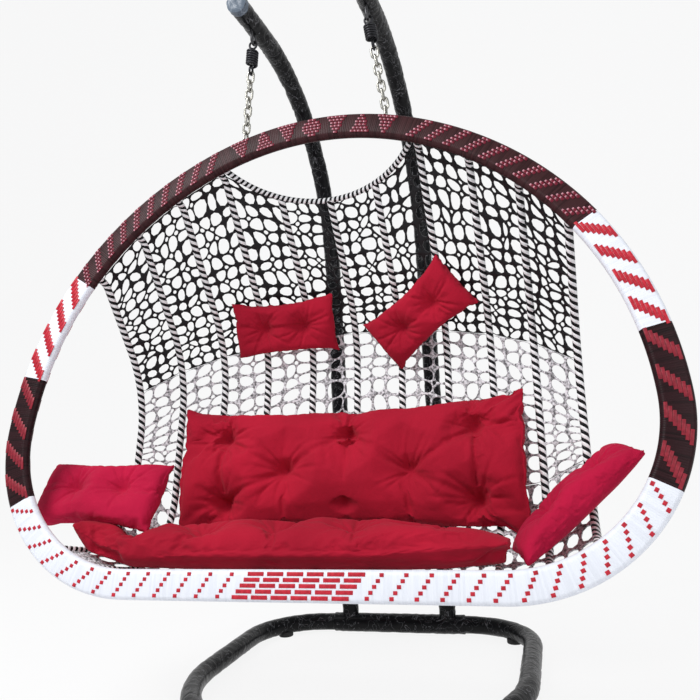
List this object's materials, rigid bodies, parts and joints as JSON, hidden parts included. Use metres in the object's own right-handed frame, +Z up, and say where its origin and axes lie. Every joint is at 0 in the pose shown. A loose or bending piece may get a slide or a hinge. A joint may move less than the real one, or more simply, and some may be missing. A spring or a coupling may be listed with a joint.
{
  "type": "hanging swing seat",
  "caption": "Wide cane-wrapped hoop basket with a ribbed net back and crimson cushions, hung by springs and chain from a free-standing bent tube stand.",
  "frame": {"origin": "on the floor under the middle of the bounding box, which is the middle of the foot ring", "axes": "+X to the right as seen from the front, +Y from the front of the seat back to the posts, +Z up"},
  "size_m": [1.4986, 0.8911, 1.681],
  "materials": {
    "stand": "black film-wrapped steel tube, crinkled and glossy",
    "feet": "matt black",
    "caps": "grey-blue film cap",
    "eyes": "bare bent bar",
    "springs": "charcoal spring wire",
    "chain": "galvanised",
    "rods": "bare bar, hidden in the wrap",
    "lugs": "galvanised bent bar",
    "wrap_white": "woven plastic cane, white with red dashes",
    "wrap_dark": "woven plastic cane, dark brown with red dashes",
    "wrap_brown": "woven plastic cane, brown with pink dots",
    "ribs": "bar bound with black and white cord in a spiral",
    "neckline": "bar bound with black and white cord in a spiral",
    "net_dark": "black plastic cane net",
    "net_pale": "white plastic cane net",
    "cushions": "crimson cloth, sewn tufts",
    "arm_cushions": "crimson cloth, sewn tufts"
  },
  "bodies": {
    "stand": {"base_ring": "stand", "rear_sleeve": "stand", "base_feet": "feet", "left_post": "stand", "right_post": "stand", "left_post_cap": "caps", "right_post_cap": "caps", "left_eye": "eyes", "right_eye": "eyes", "post_tie": "stand"},
    "springs": {"left_spring": "springs", "right_spring": "springs"},
    "chains": {"left_chain": "chain", "right_chain": "chain"},
    "basket": {"hoop_outer_rod": "rods", "hoop_inner_rod": "rods", "hoop_spacers": "rods", "left_lug": "lugs", "right_lug": "lugs", "wrap_lower": "wrap_white", "left_wrap_shoulder": "wrap_white", "right_wrap_shoulder": "wrap_white", "left_wrap_side": "wrap_dark", "right_wrap_side": "wrap_dark", "wrap_upper": "wrap_brown", "rib_middle": "ribs", "left_rib_1": "ribs", "left_rib_2": "ribs", "left_rib_3": "ribs", "left_rib_4": "ribs", "right_rib_1": "ribs", "right_rib_2": "ribs", "right_rib_3": "ribs", "right_rib_4": "ribs", "left_rib_edge": "ribs", "right_rib_edge": "ribs", "neckline_bar": "neckline", "net_upper": "net_dark", "net_lower": "net_pale", "net_seat": "net_pale", "back_cushion": "cushions", "seat_cushion": "cushions", "left_head_cushion": "cushions", "right_head_cushion": "cushions", "left_arm_cushion": "arm_cushions", "right_arm_cushion": "arm_cushions"}
  },
  "joints": [
    {"name": "swing", "type": "hinge", "parent": "stand", "child": "springs", "pos_m": [0, -0.16317, 1.61013], "axis": [-1, 0, 0], "range_deg": [-8, 20]},
    {"name": "bounce", "type": "slide", "parent": "springs", "child": "chains", "axis": [0, 0, -1], "range_m": [0, 0.05], "stiffness_N_per_m": 20000, "springref_m": -0.02, "deforming": ["left_spring", "right_spring"]},
    {"name": "basket_tilt", "type": "hinge", "parent": "chains", "child": "basket", "pos_m": [0, -0.16317, 1.37065], "axis": [-1, 0, 0], "range_deg": [-4, 10]}
  ]
}
